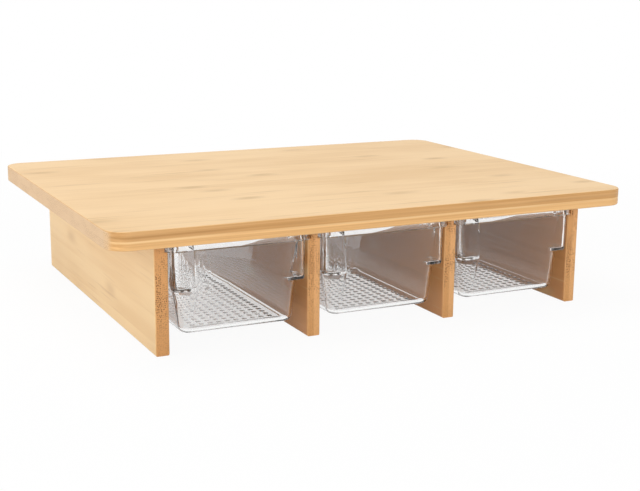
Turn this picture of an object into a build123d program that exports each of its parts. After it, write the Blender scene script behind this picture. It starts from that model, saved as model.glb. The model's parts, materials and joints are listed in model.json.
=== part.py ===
from build123d import *
import os
from math import radians, tan

# Raised cutting board on four upright panels, with three clear trays that slide between them.
# Frame: +X to the right, -Y to the front, +Z up, origin on the table under the board's centre.
# All lengths are in millimetres.

# Board: two plies laid flat, one on the other
board_width = 450.0
board_depth = 340.0
board_side_overhang = 36.5
board_corner_radius = 16.0
board_edge_round = 1.2
upper_ply_thickness = 7.0
lower_ply_thickness = 7.0

# Upright panels: two plies each, glued face to face
panel_height = 84.0
panel_ply_thickness = 5.5
panel_front_setback = 16.0
panel_back_setback = 15.0
panel_edge_round = 1.5

# Glued joint: a stopped tongue on each panel, in a groove in the lower ply
tongue_ply_thickness = 2.6
tongue_height = 4.0
tongue_end_setback = 14.0

# Rabbet in the panels, just under the board, that carries the tray's rim
rabbet_depth = 2.8
rabbet_height = 7.0

# Tray: rim
tray_length = 302.0
rim_proud_of_panels = 6.0
rim_side_gap = 0.5
rim_running_gap = 0.3
rim_top_gap = 0.5
rim_corner_radius = 10.0
rim_edge_round = 0.9
rim_skirt_thickness = 1.8
rim_plate_thickness = 2.0

# Tray: tapered body under the rim
wall_thickness = 2.0
floor_thickness = 2.2
wall_taper_deg = 6.0
mouth_corner_radius = 15.0
bottom_edge_radius = 6.0
tray_ground_gap = 13.0

# Tray: stacking lugs at the four corners
lug_panel_gap = 2.8
lug_behind_rim = 1.0
lug_proud_of_wall = 0.4
lug_height = 30.0
lug_arm_length = 16.0
lug_reach = 12.0
lug_corner_radius = 6.0
lug_edge_round = 1.0

# Tray: low bars under the floor that it stands on when it is taken out
foot_length = 26.0
foot_width = 3.0
foot_height = 0.8
foot_corner_inset = 12.0

# Worked out from the sizes above
panel_thickness = 2 * panel_ply_thickness
panel_pitch = (board_width - 2 * board_side_overhang - panel_thickness) / 3
bay_width = panel_pitch - panel_thickness
bay_centres = [-panel_pitch, 0.0, panel_pitch]
panel_centres = [panel_pitch * step for step in (-1.5, -0.5, 0.5, 1.5)]
panel_front = -board_depth / 2 + panel_front_setback
panel_back = board_depth / 2 - panel_back_setback
board_top = panel_height + lower_ply_thickness + upper_ply_thickness

shoulder = panel_height - rabbet_height
rim_bottom = shoulder + rim_running_gap
rim_top = panel_height - rim_top_gap
rim_width = bay_width + 2 * (rabbet_depth - rim_side_gap)
tray_front = panel_front - rim_proud_of_panels
tray_middle = tray_front + tray_length / 2

lug_width = bay_width - 2 * lug_panel_gap
lug_length = tray_length - 2 * lug_behind_rim
lug_bottom = rim_bottom - lug_height
body_width = lug_width - 2 * lug_proud_of_wall
body_length = lug_length - 2 * lug_proud_of_wall


def block(x_range, y_range, z_range):
    """A plain box between two corners."""
    size = [high - low for low, high in (x_range, y_range, z_range)]
    middle = [(high + low) / 2 for low, high in (x_range, y_range, z_range)]
    return Pos(*middle) * Box(*size)


def rounded_prism(centre, width, length, radius, bottom, top):
    """An upright prism with a rounded rectangle as its plan."""
    outline = Pos(centre[0], centre[1], bottom) * RectangleRounded(width, length, radius)
    return extrude(outline, top - bottom)


def tongue(panel_x, sides):
    """The panel's tongue on the given sides of its glue line: -1 is the left side, +1 the right one."""
    reach = [panel_x] + [panel_x + side * tongue_ply_thickness for side in sides]
    length = (panel_front + tongue_end_setback, panel_back - tongue_end_setback)
    return block((min(reach), max(reach)), length, (panel_height, panel_height + tongue_height))


def board_ply(bottom, top, edge_z):
    """One flat ply of the board, with the edge at height edge_z eased."""
    ply = rounded_prism((0, 0), board_width, board_depth, board_corner_radius, bottom, top)
    outer_edges = ply.edges().filter_by_position(Axis.Z, edge_z, edge_z)
    return fillet(outer_edges, board_edge_round)


def board_upper_ply():
    """The cutting surface."""
    return board_ply(panel_height + lower_ply_thickness, board_top, board_top)


def board_lower_ply():
    """The ply underneath, grooved for the panels' tongues."""
    ply = board_ply(panel_height, panel_height + lower_ply_thickness, panel_height)
    for panel_x in panel_centres:
        ply -= tongue(panel_x, (-1, 1))
    return ply


def rabbet_cutter(bay_x):
    """The space that is cut from both sides of a bay for the rim: open in front, round at the back."""
    width = rim_width + 2 * rim_side_gap
    back = tray_front + tray_length + rim_running_gap
    front = 2 * panel_front - back
    middle = (bay_x, (front + back) / 2)
    radius = rim_corner_radius + rim_side_gap
    return rounded_prism(middle, width, back - front, radius, shoulder, panel_height)


def panel_ply(panel_x, side):
    """One ply of an upright panel: side -1 is the left ply, +1 the right one."""
    x_range = sorted((panel_x, panel_x + side * panel_ply_thickness))
    ply = block(x_range, (panel_front, panel_back), (0.0, panel_height))
    outer_face = ply.faces().sort_by(Axis.X)[-1 if side > 0 else 0]
    eased = outer_face.edges().filter_by(Axis.Z) + outer_face.edges().filter_by(Axis.Y).sort_by(Axis.Z)[:1]
    ply = fillet(eased, panel_edge_round)
    for bay_x in bay_centres:
        ply -= rabbet_cutter(bay_x)
    return ply + tongue(panel_x, (side,))


def tapered_body(width, length, mouth_radius, bottom, edge_radius):
    """A box up to the rim that narrows downwards by the wall's taper, with a rounded bottom edge."""
    height = rim_bottom - bottom
    narrowing = height * tan(radians(wall_taper_deg))
    outline = RectangleRounded(width - 2 * narrowing, length - 2 * narrowing, mouth_radius - narrowing)
    body = extrude(Pos(0, tray_middle, bottom) * outline, amount=height, taper=-wall_taper_deg)
    return fillet(body.edges().filter_by_position(Axis.Z, bottom, bottom), edge_radius)


def lug_outline(right, back, inset):
    """Plan of one corner lug: two arms that slope back into the wall. inset thins it on all sides."""
    arm = lug_arm_length
    reach = lug_reach
    corners = [(0, 0), (arm, 0), (arm + reach, reach), (reach, reach), (reach, arm + reach), (0, arm)]
    plan = make_face(Polyline(*corners, close=True))
    plan = fillet(plan.vertices().sort_by_distance((0, 0))[:1], lug_corner_radius)
    if inset:
        plan = offset(plan, -inset)
    if right:
        plan = mirror(plan, Plane.YZ)
    if back:
        plan = mirror(plan, Plane.XZ)
    return plan


def lugs(inset, bottom, top):
    """The four corner lugs as upright prisms with a rounded bottom edge."""
    pieces = []
    for right in (False, True):
        for back in (False, True):
            corner_x = lug_width / 2 if right else -lug_width / 2
            corner_y = tray_middle + (lug_length / 2 if back else -lug_length / 2)
            outline = Pos(corner_x, corner_y, bottom) * lug_outline(right, back, inset)
            piece = extrude(outline, amount=top - bottom, dir=(0, 0, 1))
            base = piece.edges().filter_by_position(Axis.Z, bottom, bottom)
            pieces.append(fillet(base, lug_edge_round))
    return pieces


def rim():
    """The flat rim with its hanging skirt, before the tray's mouth is cut through it."""
    middle = (0, tray_middle)
    band = rounded_prism(middle, rim_width, tray_length, rim_corner_radius, rim_bottom, rim_top)
    band = fillet(band.edges().filter_by_position(Axis.Z, rim_top, rim_top), rim_edge_round)
    hollow = rounded_prism(
        middle,
        rim_width - 2 * rim_skirt_thickness,
        tray_length - 2 * rim_skirt_thickness,
        rim_corner_radius - rim_skirt_thickness,
        rim_bottom,
        rim_top - rim_plate_thickness,
    )
    return band - hollow


def feet():
    """Four low bars under the tray's floor, one near each corner."""
    narrowing = (rim_bottom - tray_ground_gap) * tan(radians(wall_taper_deg))
    x_out = body_width / 2 - narrowing - foot_corner_inset
    y_out = body_length / 2 - narrowing - foot_corner_inset
    z_range = (tray_ground_gap - foot_height, tray_ground_gap + floor_thickness / 2)
    bars = []
    for side in (-1, 1):
        for end in (-1, 1):
            x_range = sorted((side * x_out, side * (x_out - foot_length)))
            y_range = sorted((tray_middle + end * y_out, tray_middle + end * (y_out - foot_width)))
            bars.append(block(x_range, y_range, z_range))
    return bars


def tray_shell():
    """The tray's outside, filled solid: rim, wall, lugs and the bars it stands on."""
    wall_top = rim_top - rim_plate_thickness / 2
    shell = rim()
    shell += rounded_prism((0, tray_middle), body_width, body_length, mouth_corner_radius, rim_bottom, wall_top)
    shell += tapered_body(body_width, body_length, mouth_corner_radius, tray_ground_gap, bottom_edge_radius)
    for piece in lugs(0.0, lug_bottom, wall_top) + feet():
        shell += piece
    return shell


def tray():
    """One clear tray, moulded in one piece, in the middle bay."""
    width = body_width - 2 * wall_thickness
    length = body_length - 2 * wall_thickness
    radius = mouth_corner_radius - wall_thickness
    floor_top = tray_ground_gap + floor_thickness
    above = rim_top + wall_thickness

    shell = tray_shell()
    shell -= tapered_body(width, length, radius, floor_top, bottom_edge_radius - wall_thickness)
    shell -= rounded_prism((0, tray_middle), width, length, radius, rim_bottom, above)
    for pocket in lugs(wall_thickness, lug_bottom + wall_thickness, above):
        shell -= pocket
    return shell


panel_names = ["left_end_panel", "left_divider", "right_divider", "right_end_panel"]
tray_names = ["left_tray", "middle_tray", "right_tray"]

nodes = {"board_upper_ply": board_upper_ply(), "board_lower_ply": board_lower_ply()}
for panel_name, panel_x in zip(panel_names, panel_centres):
    nodes[panel_name + "_left_ply"] = panel_ply(panel_x, -1)
    nodes[panel_name + "_right_ply"] = panel_ply(panel_x, 1)
middle_tray = tray()
for tray_name, bay_x in zip(tray_names, bay_centres):
    nodes[tray_name] = Pos(bay_x, 0, 0) * middle_tray

os.makedirs("parts", exist_ok=True)
for name, shape in nodes.items():
    export_step(shape, "parts/" + name + ".step")
    print(name, len(shape.solids()), "solid", round(shape.volume / 1000, 2), "cm3")
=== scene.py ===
"""Looks for a bamboo cutting board on four upright panels, with three clear trays that slide between them."""

import json
import math

import bpy
from mathutils import Euler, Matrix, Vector


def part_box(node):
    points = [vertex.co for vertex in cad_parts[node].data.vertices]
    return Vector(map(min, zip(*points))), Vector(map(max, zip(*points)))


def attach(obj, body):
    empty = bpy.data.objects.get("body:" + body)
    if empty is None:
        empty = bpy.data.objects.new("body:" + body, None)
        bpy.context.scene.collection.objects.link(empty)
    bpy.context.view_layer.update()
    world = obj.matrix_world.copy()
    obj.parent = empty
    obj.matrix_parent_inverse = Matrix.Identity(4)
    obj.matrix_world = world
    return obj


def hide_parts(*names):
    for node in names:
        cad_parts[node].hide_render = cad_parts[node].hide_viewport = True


MM = 0.001

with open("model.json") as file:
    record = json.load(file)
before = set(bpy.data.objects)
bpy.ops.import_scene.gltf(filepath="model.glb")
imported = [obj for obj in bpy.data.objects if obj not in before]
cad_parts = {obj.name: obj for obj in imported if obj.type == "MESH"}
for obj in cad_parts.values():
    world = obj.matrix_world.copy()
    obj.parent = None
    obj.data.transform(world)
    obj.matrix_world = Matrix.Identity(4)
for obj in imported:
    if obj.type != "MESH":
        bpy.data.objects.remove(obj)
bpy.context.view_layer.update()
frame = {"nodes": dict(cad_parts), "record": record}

# ---------------------------------------------------------------- places read from the frame
tray_low, tray_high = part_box("middle_tray")
tray_middle = (tray_low + tray_high) / 2
tray_half = (tray_high - tray_low) / 2
bay_pitch = tray_low.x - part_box("left_tray")[0].x
glue_line_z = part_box("board_lower_ply")[1].z

# ---------------------------------------------------------------- camera
CAMERA_PLACE = (-0.4498, -0.9490, 0.2711)
CAMERA_HEADING = 26.34
CAMERA_DOWN = 12.71
CAMERA_ROLL = 0.5
FOCAL_LENGTH_IN_PIXELS = 1194.4
PICTURE_WIDTH = 640
SENSOR_WIDTH = 36.0
NEAREST_SEEN = 0.01
FURTHEST_SEEN = 50

# clear walls stand one behind the other, and light has to get through them all
LIGHT_BOUNCES = 32


def set_camera():
    """The photograph's view: from the left, in front and a little above."""
    bpy.ops.object.camera_add(location=CAMERA_PLACE)
    camera = bpy.context.object
    camera.name = "view_from_the_left"
    turn = Euler((math.radians(90 - CAMERA_DOWN), 0, -math.radians(CAMERA_HEADING))).to_matrix()
    roll = Euler((0, 0, math.radians(CAMERA_ROLL))).to_matrix()
    camera.rotation_euler = (turn @ roll).to_euler()
    camera.data.sensor_width = SENSOR_WIDTH
    camera.data.lens = SENSOR_WIDTH * FOCAL_LENGTH_IN_PIXELS / PICTURE_WIDTH
    camera.data.clip_start = NEAREST_SEEN
    camera.data.clip_end = FURTHEST_SEEN
    bpy.context.scene.camera = camera


def set_picture():
    """Plain view settings, and enough bounces for clear plastic."""
    scene = bpy.context.scene
    scene.view_settings.view_transform = "Standard"
    scene.cycles.max_bounces = LIGHT_BOUNCES
    scene.cycles.glossy_bounces = LIGHT_BOUNCES
    scene.cycles.transmission_bounces = LIGHT_BOUNCES
    scene.cycles.transparent_max_bounces = LIGHT_BOUNCES


# ---------------------------------------------------------------- shader maths
class Signal:
    """A number that changes over a surface. Arithmetic on it adds Math nodes to its finish."""

    def __init__(self, finish, socket):
        self.finish = finish
        self.socket = socket

    def maths(self, operation, *values):
        """One Math node, as a new signal."""
        node = self.finish.node("ShaderNodeMath", {"operation": operation}, dict(enumerate(values)))
        return Signal(self.finish, node.outputs[0])

    def __add__(self, other):
        return self.maths("ADD", self, other)

    def __radd__(self, other):
        return self.maths("ADD", other, self)

    def __sub__(self, other):
        return self.maths("SUBTRACT", self, other)

    def __rsub__(self, other):
        return self.maths("SUBTRACT", other, self)

    def __mul__(self, other):
        return self.maths("MULTIPLY", self, other)

    def __rmul__(self, other):
        return self.maths("MULTIPLY", other, self)

    def __truediv__(self, other):
        return self.maths("DIVIDE", self, other)

    def __rtruediv__(self, other):
        return self.maths("DIVIDE", other, self)

    def __abs__(self):
        return self.maths("ABSOLUTE", self)

    def floor(self):
        return self.maths("FLOOR", self)

    def fract(self):
        return self.maths("FRACT", self)

    def power(self, exponent):
        return self.maths("POWER", self, exponent)

    def at_least(self, other):
        return self.maths("MAXIMUM", self, other)

    def ramp(self, start, end):
        """0 at start and 1 at end, smoothly between them. start may be above end."""
        inputs = {"Value": self, "From Min": start, "From Max": end}
        node = self.finish.node("ShaderNodeMapRange", {"interpolation_type": "SMOOTHSTEP"}, inputs)
        return Signal(self.finish, node.outputs["Result"])


class Finish:
    """The nodes of one material, or of the world."""

    def __init__(self, owner):
        owner.use_nodes = True
        self.owner = owner
        self.tree = owner.node_tree
        self.tree.nodes.clear()

    def node(self, kind, settings=None, inputs=None):
        """One node: its settings first, then the values or links of its sockets."""
        made = self.tree.nodes.new(kind)
        for name, value in (settings or {}).items():
            setattr(made, name, value)
        for name, value in (inputs or {}).items():
            if isinstance(value, Signal):
                value = value.socket
            if isinstance(value, bpy.types.NodeSocket):
                self.tree.links.new(value, made.inputs[name])
            else:
                made.inputs[name].default_value = value
        return made

    def axes(self):
        """The piece's own X, Y and Z, in metres."""
        coordinates = self.node("ShaderNodeTexCoord")
        split = self.node("ShaderNodeSeparateXYZ", None, {0: coordinates.outputs["Object"]})
        return [Signal(self, socket) for socket in split.outputs]

    def facing(self):
        """How far the surface faces along X, Y and Z, from 0 to 1."""
        coordinates = self.node("ShaderNodeTexCoord")
        split = self.node("ShaderNodeSeparateXYZ", None, {0: coordinates.outputs["Normal"]})
        return [abs(Signal(self, socket)) for socket in split.outputs]

    def vector(self, x, y, z):
        return self.node("ShaderNodeCombineXYZ", None, {0: x, 1: y, 2: z}).outputs[0]

    def noise(self, vector, detail, roughness, distortion=0.0):
        """Soft noise, one unit to a lump."""
        inputs = {"Vector": vector, "Scale": 1.0, "Detail": detail, "Roughness": roughness}
        inputs["Distortion"] = distortion
        return Signal(self, self.node("ShaderNodeTexNoise", None, inputs).outputs["Fac"])

    def chance(self, vector):
        """One random number for each whole place."""
        return Signal(self, self.node("ShaderNodeTexWhiteNoise", None, {"Vector": vector}).outputs["Value"])

    def blend(self, share, first, second):
        """Two colours mixed: share 0 is the first one."""
        return self.node("ShaderNodeMix", {"data_type": "RGBA"}, {0: share, 6: first, 7: second}).outputs[2]

    def either(self, share, first, second):
        """Two shaders mixed: share 0 is the first one."""
        return self.node("ShaderNodeMixShader", None, {0: share, 1: first, 2: second}).outputs[0]

    def rays(self, *kinds):
        """1 for the kinds of ray that are named, and 0 for all others."""
        path = self.node("ShaderNodeLightPath").outputs
        found = Signal(self, path[kinds[0]])
        for kind in kinds[1:]:
            found = found.at_least(Signal(self, path[kind]))
        return found

    def output(self, shader, kind="ShaderNodeOutputMaterial"):
        """Joins the shader to the output and hands over the material or the world."""
        self.node(kind, None, {"Surface": shader})
        return self.owner


def colour(red, green, blue):
    return (red, green, blue, 1.0)


WHITE = colour(1, 1, 1)

# ---------------------------------------------------------------- bamboo
BOARD_COLOURS = {
    "pale": colour(0.86, 0.60, 0.32),
    "honey": colour(0.77, 0.505, 0.24),
    "mark": colour(0.59, 0.37, 0.16),
    "edge_light": colour(0.73, 0.42, 0.17),
    "edge_dark": colour(0.555, 0.28, 0.087),
    "end_light": colour(0.77, 0.52, 0.29),
    "end_dark": colour(0.62, 0.39, 0.20),
}
LOWER_PLY_COLOURS = dict(
    BOARD_COLOURS,
    edge_light=colour(0.87, 0.525, 0.225),
    edge_dark=colour(0.66, 0.35, 0.122),
)
OUTER_PANEL_COLOURS = {
    "pale": colour(0.93, 0.68, 0.375),
    "honey": colour(0.84, 0.575, 0.29),
    "mark": colour(0.73, 0.49, 0.25),
    "edge_light": colour(0.80, 0.50, 0.24),
    "edge_dark": colour(0.60, 0.33, 0.13),
    "end_light": colour(0.77, 0.41, 0.165),
    "end_dark": colour(0.33, 0.14, 0.045),
}
# inner faces of the panels: a darker, redder copy of the outer colours, painted shade of the bays under the
# board
INNER_PANEL_COLOURS_PAINTED_SHADE = dict(
    OUTER_PANEL_COLOURS,
    pale=colour(0.69, 0.335, 0.13),
    honey=colour(0.59, 0.27, 0.095),
)
DARKER_ENDS = {"end_light": colour(0.67, 0.335, 0.12), "end_dark": colour(0.22, 0.085, 0.022)}
DARK_LINE = colour(0.42, 0.21, 0.07)
# a pale line at the top of the lower ply: painted highlight, where an eased edge would catch the light
PAINTED_HIGHLIGHT_LINE = colour(0.95, 0.74, 0.42)

# strips: each has its own tone and its own places for the knuckles
STRIP_WIDTH = 21 * MM
STRIP_START = 0.37
STRIP_STEP_FROM_PLY_TO_PLY = 0.29
SEAM = (0.44, 0.5)
KNUCKLE_PITCH = 430 * MM
KNUCKLE_HALF_LENGTH = 21 * MM
KNUCKLE_HALF_WIDTH = 0.42
KNUCKLE_WANDER = 30 * MM

# figures in the wood: lumps to a metre along the grain, across it and through the ply
FIBRES = {"lumps": (18, 1100, 1100), "detail": 2.0, "roughness": 0.6}
STREAKS = {"lumps": (6, 150, 150), "detail": 3.0, "roughness": 0.55}
CLOUDS = {"lumps": (11, 38, 38), "detail": 2.0, "roughness": 0.5}
DRIFT = {"lumps": (5, 13, 13), "detail": 2.0, "roughness": 0.5}
SPLITS = {"lumps": (13, 330, 330), "detail": 1.0, "roughness": 0.5}
LAYERS = {"lumps": (5, 160, 1000), "detail": 3.0, "roughness": 0.6}
BANDS = {"lumps": (3, 60, 420), "detail": 1.0, "roughness": 0.5}
LINE_BREAKS = {"lumps": (11, 4, 0), "detail": 1.0, "roughness": 0.5}
END_PATCHES = {"lumps": (3, 40, 90), "detail": 2.0, "roughness": 0.5}
SURFACE_GRAIN = {"lumps": (14, 1300, 1300), "detail": 2.0, "roughness": 0.6}

# how far a figure jumps from one strip to the next, at most: in lumps, or in pitches of the knuckles
KNUCKLE_JUMP = 3
FIBRE_JUMP = 31
STREAK_JUMP = 17
SPLIT_JUMP = 9
CLOUD_JUMP = 5

# what makes a place on the face darker: each one's share between pale and honey
TONE_SHARE = 0.26
STREAK_SHARE = 0.26
SEAM_SHARE = 0.15
CLOUD_SHARE = 1.0
DRIFT_SHARE = 2.1
LEAST_SHADE = 0.2

# the marks' shares between the face's own colour and the mark's
KNUCKLE_SHARE = 0.35
KNUCKLE_SHARE_BY_TONE = 0.5
SPLIT_SHARE = 0.6
FIBRE_SHARE = 0.22

# the layers' and bands' shares between the edge's light and dark
LAYER_SHARE = 0.55
BAND_SHARE = 0.45

# cut ends: bundles of fibres show as dots, fewer at a panel's foot
BUNDLE_PITCH = 1.45 * MM
BUNDLE_EDGE = (0.46, 0.22)
BUNDLES_ALONG = 30
BUNDLE_DISORDER = 0.55
DOTS_FADE = (14 * MM, 36 * MM)
DOT_SHARE = 0.25
DOT_SHARE_IN_PATCHES = 0.85
END_PATCH_SHARE = 0.4

# how squarely a surface has to look along an axis to be a face or a cut end
FACE_TURN = (0.5, 0.9)
END_TURN = (0.78, 0.95)

LINE_WAVER = 0.8 * MM
GRAIN_STRENGTH = 0.14
GRAIN_DEPTH = 0.3 * MM
LEAST_ROUGHNESS = 0.42
FIBRE_ROUGHNESS = 0.18


class Bamboo(Finish):
    """Bamboo laid in long strips, with a look for its face, for its edge and for its cut end."""

    def __init__(self, name, grain, seed):
        """grain is the axis that the fibres follow: 0 for X in a board, 1 for Y in a panel."""
        super().__init__(bpy.data.materials.new(name))
        axes = self.axes()
        facing = self.facing()
        across, through = (1, 2) if grain == 0 else (2, 0)
        self.seed = seed
        self.height = axes[2]
        self.along = axes[grain]
        self.across = axes[across]
        self.through = axes[through]
        self.facing_along = facing[grain]
        self.facing_through = facing[through]

        strip_place = self.across / STRIP_WIDTH + STRIP_START + STRIP_STEP_FROM_PLY_TO_PLY * seed
        strip = strip_place.floor()
        self.in_strip = strip_place.fract()
        # two random numbers that stay the same all along a strip
        self.tone = self.chance(self.vector(strip, seed, 0.0))
        self.shift = self.chance(self.vector(strip, seed + 7.0, 0.0))
        self.fibres = self.figure(FIBRES, (self.shift * FIBRE_JUMP, 0.0, 0.0))
        self.streaks = self.figure(STREAKS, (self.shift * STREAK_JUMP, 0.0, 0.0))
        self.clouds = self.figure(CLOUDS, (self.tone * CLOUD_JUMP, 0.0, 0.0))

    def figure(self, look, start=(0.0, 0.0, 0.0)):
        """Noise that follows the grain. start sets it apart from the others."""
        axes = (self.along, self.across, self.through)
        place = [axis * lumps + offset for axis, lumps, offset in zip(axes, look["lumps"], start)]
        return self.noise(self.vector(*place), look["detail"], look["roughness"])

    def knuckles(self):
        """Dark patches where the cane had its joints, each in the middle half of its strip."""
        place = ((self.along / KNUCKLE_PITCH + self.shift * KNUCKLE_JUMP).fract() - 0.5) * KNUCKLE_PITCH
        lengthways = abs(place + (self.clouds - 0.5) * KNUCKLE_WANDER)
        sideways = abs(self.in_strip - 0.25 - self.shift * 0.5)
        return lengthways.ramp(KNUCKLE_HALF_LENGTH, 0.0) * sideways.ramp(KNUCKLE_HALF_WIDTH, 0.0)

    def face(self, colours):
        """The broad side: strips from pale to honey, with soft clouds, knuckles and thin dark fibres."""
        seam = abs(self.in_strip - 0.5).ramp(*SEAM)
        drift = self.figure(DRIFT, (3.0, self.seed, 0.0))
        shade = self.tone * TONE_SHARE + LEAST_SHADE
        shade = shade + self.streaks.ramp(0.36, 0.74) * STREAK_SHARE
        shade = shade + (self.clouds - 0.5) * CLOUD_SHARE
        shade = shade + (drift - 0.5) * DRIFT_SHARE
        shade = shade + seam * SEAM_SHARE
        face = self.blend(shade.ramp(0.0, 1.0), colours["pale"], colours["honey"])

        splits = self.figure(SPLITS, (self.shift * SPLIT_JUMP, 0.0, 0.0))
        marks = self.knuckles() * (self.tone * KNUCKLE_SHARE_BY_TONE + KNUCKLE_SHARE)
        marks = marks + splits.ramp(0.61, 0.74) * self.clouds.ramp(0.42, 0.6) * SPLIT_SHARE
        marks = marks + self.fibres.ramp(0.58, 0.8) * self.streaks.ramp(0.45, 0.75) * FIBRE_SHARE
        return self.blend(marks, face, colours["mark"])

    def edge(self, colours, lines):
        """The long narrow side, in thin layers.

        lines are its streaks, and painted highlight lines. Each one has a height, a half width, a strength
        and a colour.
        """
        layers = self.figure(LAYERS).ramp(0.34, 0.66) * LAYER_SHARE
        bands = self.figure(BANDS, (5.0, 0.0, 0.0)).ramp(0.35, 0.65) * BAND_SHARE
        edge = self.blend(layers + bands, colours["edge_light"], colours["edge_dark"])
        breaks = self.figure(LINE_BREAKS, (0.0, 0.0, self.seed)).ramp(0.25, 0.7)
        waver = (self.streaks - 0.5) * LINE_WAVER
        for height, half_width, strength, line_colour in lines:
            share = abs(self.through - height + waver).ramp(half_width, 0.0) * breaks * strength
            edge = self.blend(share, edge, line_colour)
        return edge

    def end(self, colours):
        """The cut end, dotted with bundles of fibres."""
        across = self.across / BUNDLE_PITCH
        through = self.through / BUNDLE_PITCH
        place = self.vector(self.along * BUNDLES_ALONG, across, through)
        inputs = {"Vector": place, "Scale": 1.0, "Randomness": BUNDLE_DISORDER}
        cells = self.node("ShaderNodeTexVoronoi", None, inputs)
        bundles = Signal(self, cells.outputs["Distance"]).ramp(*BUNDLE_EDGE)
        patches = self.figure(END_PATCHES, (0.0, self.seed * 3.7, 0.0))
        dotted = patches.ramp(0.36, 0.6) * self.height.ramp(*DOTS_FADE)
        share = bundles * (dotted * DOT_SHARE_IN_PATCHES + DOT_SHARE) + (patches - 0.5) * END_PATCH_SHARE
        return self.blend(share, colours["end_light"], colours["end_dark"])

    def material(self, colours, lines):
        """The whole finish, oiled and satin."""
        is_face = self.facing_through.ramp(*FACE_TURN)
        is_end = self.facing_along.ramp(*END_TURN)
        skin = self.blend(is_face, self.edge(colours, lines), self.face(colours))
        skin = self.blend(is_end, skin, self.end(colours))
        relief = {"Strength": GRAIN_STRENGTH, "Distance": GRAIN_DEPTH, "Height": self.figure(SURFACE_GRAIN)}
        bump = self.node("ShaderNodeBump", None, relief)
        inputs = {
            "Base Color": skin,
            "Roughness": self.fibres * FIBRE_ROUGHNESS + LEAST_ROUGHNESS,
            "Normal": bump.outputs["Normal"],
            "Specular IOR Level": 0.35,
            "Coat Weight": 0.1,
            "Coat Roughness": 0.32,
        }
        return self.output(self.node("ShaderNodeBsdfPrincipled", None, inputs).outputs[0])


def finish_the_wood():
    """Every bamboo ply keeps its mesh from the frame and gets a finish of its own."""
    slots = {part["node"]: part["material_slot"] for part in frame["record"]["subparts"]}
    colours = {
        "board_upper": BOARD_COLOURS,
        "board_lower": LOWER_PLY_COLOURS,
        "panel_outer": OUTER_PANEL_COLOURS,
        # the inner plies get colours with painted shade in them
        "panel_inner": INNER_PANEL_COLOURS_PAINTED_SHADE,
    }
    lines = {
        "board_upper": [
            (glue_line_z + 2.6 * MM, 2.2 * MM, 0.5, DARK_LINE),
            (glue_line_z, 0.5 * MM, 0.3, DARK_LINE),
        ],
        # just under the glue line: a painted highlight line
        "board_lower": [(glue_line_z - 0.9 * MM, 1.2 * MM, 0.4, PAINTED_HIGHLIGHT_LINE)],
    }
    for seed, (name, node) in enumerate(sorted(frame["nodes"].items())):
        slot = slots[name]
        if slot not in colours:
            continue
        grain = 0 if slot.startswith("board") else 1
        darker = name.startswith("left_end") or name.endswith("left_ply")
        tones = dict(colours[slot], **DARKER_ENDS) if darker else colours[slot]
        finish = Bamboo("bamboo_" + name, grain, float(seed)).material(tones, lines.get(slot, []))
        for holder in node.material_slots:
            holder.material = finish


# ---------------------------------------------------------------- clear trays
RIM_HEIGHT = 6.2 * MM
RIM_CORNER = 10.0 * MM
RIM_TOP_ROUND = 0.9 * MM
RIM_LEAN = 1.4 * MM
SKIN_SLACK = 0.05 * MM
rim_foot_z = tray_high.z - RIM_HEIGHT
lean_for_height = RIM_LEAN / (RIM_HEIGHT - RIM_TOP_ROUND)

# the rim's bead, as slopes above and below its crown, and how deep its skin reaches inwards
BEAD_CROWN_DEPTH = 5.2 * MM
BEAD_UPPER_SLOPE = 0.42
BEAD_ROUNDING = 110.0
BEAD_LOWER_SLOPE = 0.8
BEAD_SKIN_AT_SIDE = (1.0 * MM, 0.5 * MM)
BEAD_SKIN_AT_END = (0.8 * MM, 0.4 * MM)

# soft waves of the moulded walls, and ripples that fade in towards the lugs
WALL_WAVE = 0.03 * MM
WALL_WAVES_PER_METRE = (40, 40, 22)
LUG_RIPPLE = 0.3 * MM
LUG_RIPPLES_PER_METRE = (190, 190, 30)
LUG_FADE_FROM_END = (30 * MM, 20 * MM)
LUG_FADE_FROM_SIDE = (34 * MM, 28 * MM)
LUG_FADE_UPWARDS = (46 * MM, 49 * MM)

# the tray's floor, the bars under it and the pads on it
FLOOR_THICKNESS = 2.2 * MM
FOOT_HEIGHT = 0.8 * MM
FOOT_EDGE = 0.05 * MM
PAD_PITCH = 7.0 * MM
PAD_BASE = 4.6 * MM
PAD_TOP = 2.4 * MM
PAD_HEIGHT = 0.6 * MM
PAD_ROOT = 0.4 * MM
PADS_ACROSS = 10
PADS_ALONG = 39

# colours of the plastic, and limits for its mesh
CLEAR = colour(0.995, 0.998, 0.998)
# grey tint for the bars under the floor: painted shade and painted reflection of the dark wood above
FEET_PAINTED_SHADE = colour(0.4, 0.4, 0.4)
LIGHT_LET_THROUGH = colour(0.95, 0.96, 0.96)
SMOOTH_ANGLE = 40
SMALLEST = 0.001 * MM


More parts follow.
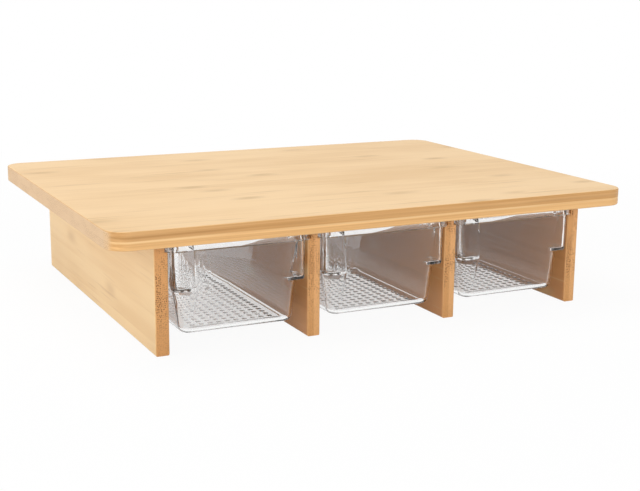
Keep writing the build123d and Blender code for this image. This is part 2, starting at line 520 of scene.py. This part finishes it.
def moulded_relief(plastic, x, y, z):
    """Height of the bead on the rim, of the waves in the walls and of the ripples on the lugs."""
    bay_x = ((x / bay_pitch + 0.5).fract() - 0.5) * bay_pitch
    from_side = tray_half.x - abs(bay_x)
    from_end = tray_half.y - abs(y - tray_middle.y)

    crown = tray_high.z - BEAD_CROWN_DEPTH
    above = (z - crown).at_least(0.0)
    below = (crown - z).at_least(0.0)
    bead = above * (above * -BEAD_ROUNDING - BEAD_UPPER_SLOPE) + below * -BEAD_LOWER_SLOPE
    lean = above * lean_for_height
    at_side = (from_side - lean).ramp(*BEAD_SKIN_AT_SIDE)
    at_end = (from_end - lean).ramp(*BEAD_SKIN_AT_END)

    place = [axis * count for axis, count in zip((x, y, z), WALL_WAVES_PER_METRE)]
    waves = plastic.noise(plastic.vector(*place), 1.0, 0.4) * WALL_WAVE
    place = [axis * count for axis, count in zip((x, y, z), LUG_RIPPLES_PER_METRE)]
    ripples = plastic.noise(plastic.vector(*place), 2.5, 0.5, 0.6) * LUG_RIPPLE
    at_lug = from_end.ramp(*LUG_FADE_FROM_END) * from_side.ramp(*LUG_FADE_FROM_SIDE)
    at_lug = at_lug * z.ramp(*LUG_FADE_UPWARDS)
    return at_side.at_least(at_end) * bead + waves + ripples * at_lug


def clear_plastic():
    """Clear moulded plastic that lets the lamps' light through. The bars under its floor are tinted grey:
    painted shade and reflection.
    """
    plastic = Finish(bpy.data.materials.new("clear_moulded_plastic"))
    x, y, z = plastic.axes()
    relief = moulded_relief(plastic, x, y, z)
    bump = plastic.node("ShaderNodeBump", None, {"Strength": 1.0, "Distance": 1.0, "Height": relief})
    foot_top = tray_low.z + FOOT_HEIGHT
    inputs = {
        # the bars under the floor are tinted grey, as painted shade and reflection
        "Base Color": plastic.blend(z.ramp(foot_top, foot_top - FOOT_EDGE), CLEAR, FEET_PAINTED_SHADE),
        "Roughness": 0.015,
        "IOR": 1.49,
        "Transmission Weight": 1.0,
        "Normal": bump.outputs["Normal"],
    }
    body = plastic.node("ShaderNodeBsdfPrincipled", None, inputs)
    open_air = plastic.node("ShaderNodeBsdfTransparent", None, {"Color": LIGHT_LET_THROUGH})
    lamp_ray = plastic.rays("Is Shadow Ray", "Is Diffuse Ray")
    return plastic.output(plastic.either(lamp_ray, body.outputs[0], open_air.outputs[0]))


def only(piece):
    """Selects one piece and nothing else."""
    bpy.ops.object.select_all(action="DESELECT")
    piece.select_set(True)
    bpy.context.view_layer.objects.active = piece


def apply_modifier(piece, kind, **settings):
    """Adds a modifier to a piece and applies it."""
    modifier = piece.modifiers.new(kind.lower(), kind)
    for name, value in settings.items():
        setattr(modifier, name, value)
    only(piece)
    bpy.ops.object.modifier_apply(modifier=modifier.name)


def copy_of(node_name, piece_name):
    """A piece with its own copy of a node's mesh, its loose triangles merged."""
    node = frame["nodes"][node_name]
    piece = bpy.data.objects.new(piece_name, node.data.copy())
    bpy.context.scene.collection.objects.link(piece)
    only(piece)
    bpy.ops.object.mode_set(mode="EDIT")
    bpy.ops.mesh.select_all(action="SELECT")
    bpy.ops.mesh.remove_doubles(threshold=SMALLEST)
    bpy.ops.object.mode_set(mode="OBJECT")
    return piece


def shrink_top(piece, share):
    """Draws the upward face of a block in towards its own middle."""
    only(piece)
    bpy.ops.object.mode_set(mode="EDIT")
    bpy.ops.mesh.select_mode(type="FACE")
    bpy.ops.mesh.select_all(action="DESELECT")
    bpy.ops.object.mode_set(mode="OBJECT")
    for face in piece.data.polygons:
        face.select = face.normal.z > 0.5
    bpy.ops.object.mode_set(mode="EDIT")
    bpy.ops.transform.resize(value=(share, share, 1))
    bpy.ops.object.mode_set(mode="OBJECT")


def floor_pads():
    """The embossed pads on the middle tray's floor, in rows and columns."""
    height = PAD_HEIGHT + PAD_ROOT
    first = Vector((
        tray_middle.x - (PADS_ACROSS - 1) / 2 * PAD_PITCH,
        tray_middle.y - (PADS_ALONG - 1) / 2 * PAD_PITCH,
        tray_low.z + FOOT_HEIGHT + FLOOR_THICKNESS - PAD_ROOT + height / 2,
    ))
    bpy.ops.object.select_all(action="DESELECT")
    bpy.ops.mesh.primitive_cube_add(size=1, location=first, scale=(PAD_BASE, PAD_BASE, height))
    pad = bpy.context.object
    bpy.ops.object.transform_apply(location=True, rotation=True, scale=True)
    shrink_top(pad, PAD_TOP / PAD_BASE)
    for count, step in ((PADS_ACROSS, (PAD_PITCH, 0, 0)), (PADS_ALONG, (0, PAD_PITCH, 0))):
        apply_modifier(pad, "ARRAY", count=count, use_relative_offset=False, use_constant_offset=True,
                       constant_offset_displace=step)
    return pad


def lean_the_rim(piece):
    """Draws the rim's outer face in towards its top, as a moulded rim has it. Its foot stays where it is."""
    straight = tray_half - Vector((RIM_CORNER, RIM_CORNER, 0))
    skin = RIM_TOP_ROUND + SKIN_SLACK
    for vertex in piece.data.vertices:
        place = vertex.co - tray_middle
        beyond = Vector((max(abs(place.x) - straight.x, 0), max(abs(place.y) - straight.y, 0)))
        rise = min(vertex.co.z - rim_foot_z, RIM_HEIGHT - RIM_TOP_ROUND)
        if RIM_CORNER - beyond.length < skin and rise > SMALLEST:
            step = beyond.normalized() * rise * lean_for_height
            vertex.co.x -= math.copysign(step.x, place.x)
            vertex.co.y -= math.copysign(step.y, place.y)


def make_trays():
    """The middle tray is finished once, and its mesh is copied into the other two bays."""
    pads = floor_pads()
    model = copy_of("middle_tray", "middle_tray_moulding")
    apply_modifier(model, "BOOLEAN", operation="UNION", solver="MANIFOLD", object=pads)
    bpy.data.objects.remove(pads)
    lean_the_rim(model)
    model.data.materials.clear()
    model.data.materials.append(clear_plastic())
    only(model)
    bpy.ops.object.shade_smooth_by_angle(angle=math.radians(SMOOTH_ANGLE))
    apply_modifier(model, "WEIGHTED_NORMAL", mode="FACE_AREA", weight=100, keep_sharp=True)

    for side in ("left", "middle", "right"):
        name = side + "_tray"
        piece = model
        if side != "middle":
            piece = bpy.data.objects.new(name + "_moulding", model.data.copy())
            bpy.context.scene.collection.objects.link(piece)
            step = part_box(name)[0] - tray_low
            for vertex in piece.data.vertices:
                vertex.co += step
        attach(piece, name + "_body")
        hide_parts(name)


# ---------------------------------------------------------------- floor, backdrop and light
SEEN_RAYS = ("Is Camera Ray", "Is Glossy Ray", "Is Transmission Ray")
FLOOR_SIZE = 30
FLOOR_DROP = 0.1 * MM
FLOOR_GREY = colour(0.88, 0.88, 0.88)
SHADOW_SHARE = 0.06
SHADOW_FADE = (0.35, 0.9)
SKY_STRENGTH = 0.5
LAMP_TARGET = Vector((0, 0, 0.05))
LAMPS = {
    "softbox_above": {"place": Vector((-0.5, 0.3, 2.2)), "size": 1.6, "power": 20},
    "softbox_left": {"place": Vector((-2.1, -0.3, 1.0)), "size": 1.3, "power": 13},
    "softbox_front": {"place": Vector((-0.1, -2.2, 0.9)), "size": 1.0, "power": 16},
}


def make_floor():
    """A wide white floor that keeps a faint shadow round the object and is plain white further off.

    It can't be seen from below.
    """
    bpy.ops.object.select_all(action="DESELECT")
    bpy.ops.mesh.primitive_plane_add(size=FLOOR_SIZE, location=(0, 0, -FLOOR_DROP))
    floor = bpy.context.object
    floor.name = "floor"
    white = Finish(bpy.data.materials.new("floor_white"))
    x, y = white.axes()[:2]
    far = (x * x + y * y).power(0.5).ramp(*SHADOW_FADE)
    lit = white.node("ShaderNodeBsdfDiffuse", None, {"Color": FLOOR_GREY})
    bright = white.node("ShaderNodeEmission", None, {"Color": WHITE, "Strength": 1.0})
    share = white.rays(*SEEN_RAYS) * (far * SHADOW_SHARE + (1 - SHADOW_SHARE))
    from_above = white.either(share, lit.outputs[0], bright.outputs[0])
    nothing = white.node("ShaderNodeBsdfTransparent")
    is_below = white.node("ShaderNodeNewGeometry").outputs["Backfacing"]
    floor.data.materials.append(white.output(white.either(is_below, from_above, nothing.outputs[0])))


def make_world():
    """Plain white all round: soft light on the object, and full white where it is seen."""
    studio = Finish(bpy.data.worlds.new("studio"))
    soft = studio.node("ShaderNodeBackground", None, {"Color": WHITE, "Strength": SKY_STRENGTH})
    shown = studio.node("ShaderNodeBackground", None, {"Color": WHITE, "Strength": 1.0})
    sky = studio.either(studio.rays(*SEEN_RAYS), soft.outputs[0], shown.outputs[0])
    bpy.context.scene.world = studio.output(sky, "ShaderNodeOutputWorld")


def make_lamps():
    """Square softboxes that point at the object."""
    for name, lamp in LAMPS.items():
        bpy.ops.object.light_add(type="AREA", location=lamp["place"])
        softbox = bpy.context.object
        softbox.name = name
        softbox.data.shape = "SQUARE"
        softbox.data.size = lamp["size"]
        softbox.data.energy = lamp["power"]
        softbox.rotation_euler = (LAMP_TARGET - lamp["place"]).to_track_quat("-Z", "Y").to_euler()


set_picture()
set_camera()
finish_the_wood()
make_trays()
make_floor()
make_world()
make_lamps()
